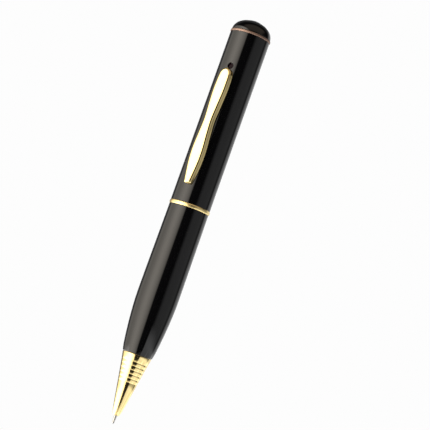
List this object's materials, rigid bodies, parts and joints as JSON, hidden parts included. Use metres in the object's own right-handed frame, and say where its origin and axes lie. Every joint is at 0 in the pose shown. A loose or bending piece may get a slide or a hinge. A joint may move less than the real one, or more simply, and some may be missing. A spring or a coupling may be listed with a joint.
{
  "type": "camera pen",
  "caption": "Ballpoint pen with a pinhole camera above its clip; it pulls apart at the centre ring to bare a USB plug.",
  "frame": {"origin": "in the throat of the clip, midway between the clip's bridge and the barrel, where a pocket's edge ends up", "axes": "+Z along the pen's axis from the writing tip to the crown; the clip and the lens face -Y; +X completes the frame"},
  "size_m": [0.0146, 0.017, 0.148],
  "materials": {
    "black_lacquer": "high gloss baked lacquer on brass",
    "gold_plate": "polished gold plating on brass",
    "copper_plate": "polished copper-toned plating on brass",
    "bright_steel": "bright stainless steel",
    "turned_brass": "as turned",
    "black_plastic": "moulded",
    "grey_plastic": "moulded",
    "white_plastic": "moulded",
    "dark_glass": "coated optical glass",
    "circuit_board": "solder-masked glass epoxy",
    "chip_epoxy": "moulded epoxy",
    "battery_foil": "laminated foil",
    "red_insulation": "extruded",
    "black_insulation": "extruded",
    "ribbon_film": "polyimide film",
    "lamp_resin": "clear tinted resin"
  },
  "bodies": {
    "camera_half": {"upper_barrel": "black_lacquer", "crown": "black_lacquer", "crown_ring": "copper_plate", "clip_anchor": "turned_brass", "lens_window": "dark_glass", "lens_barrel": "black_plastic", "lens_front": "dark_glass", "lens_rear": "dark_glass", "camera_housing": "black_plastic", "ir_filter": "dark_glass", "image_sensor": "chip_epoxy", "sensor_board": "circuit_board", "camera_ribbon": "ribbon_film", "inner_frame": "grey_plastic", "main_board": "circuit_board", "processor_chip": "chip_epoxy", "memory_chip": "chip_epoxy", "charge_chip": "chip_epoxy", "clock_crystal": "bright_steel", "status_led": "lamp_resin", "microphone": "bright_steel", "switch_board": "circuit_board", "battery_cell": "battery_foil", "battery_lead_red": "red_insulation", "battery_lead_black": "black_insulation", "switch_housing": "black_plastic", "usb_collar": "black_plastic", "usb_plug_shell": "bright_steel", "usb_tongue": "white_plastic", "usb_contact_1": "gold_plate", "usb_contact_2": "gold_plate", "usb_contact_3": "gold_plate", "usb_contact_4": "gold_plate"},
    "power_button": {"power_button": "black_lacquer"},
    "switch_plunger": {"switch_plunger": "white_plastic"},
    "clip": {"clip": "gold_plate"},
    "writing_half": {"lower_barrel": "black_lacquer", "centre_ring": "gold_plate", "plug_liner": "black_plastic", "refill_holder": "grey_plastic", "refill_spring": "bright_steel", "thread_insert": "turned_brass"},
    "refill": {"refill_tube": "turned_brass", "refill_point": "bright_steel"},
    "nose_cone": {"nose_cone": "gold_plate"},
    "writing_ball": {"writing_ball": "bright_steel"}
  },
  "joints": [
    {"name": "halves_pull", "type": "slide", "parent": "camera_half", "child": "writing_half", "axis": [0, 0, -1], "range_m": [0, 0.03]},
    {"name": "refill_advance", "type": "slide", "parent": "writing_half", "child": "refill", "axis": [0, 0, -1], "range_m": [0, 0.0045], "deforming": ["refill_spring"]},
    {"name": "nose_unscrew", "type": "hinge", "parent": "refill", "child": "nose_cone", "pos_m": [0, 0.0082, -0.102], "axis": [0, 0, -1], "range_deg": [0, 2161]},
    {"name": "ball_roll", "type": "hinge", "parent": "refill", "child": "writing_ball", "pos_m": [0, 0.0082, -0.12165], "axis": [1, 0, 0], "continuous": true},
    {"name": "button_press", "type": "slide", "parent": "camera_half", "child": "power_button", "axis": [0, 0, -1], "range_m": [0, 0.0005], "stiffness_N_per_m": 800, "springref_m": -0.0005},
    {"name": "plunger_press", "type": "slide", "parent": "camera_half", "child": "switch_plunger", "axis": [0, 0, -1], "range_m": [0, 0.00051]},
    {"name": "clip_flex", "type": "hinge", "parent": "camera_half", "child": "clip", "pos_m": [0, 0.00105, 0.0028], "axis": [-1, 0, 0], "range_deg": [0, 5], "stiffness_Nm_per_rad": 2, "springref_deg": -1.15}
  ],
  "couplings": [
    {"joint": "nose_unscrew", "follows": "refill_advance", "rad_per_m": 8377.6},
    {"joint": "plunger_press", "follows": "button_press", "ratio": 1}
  ]
}
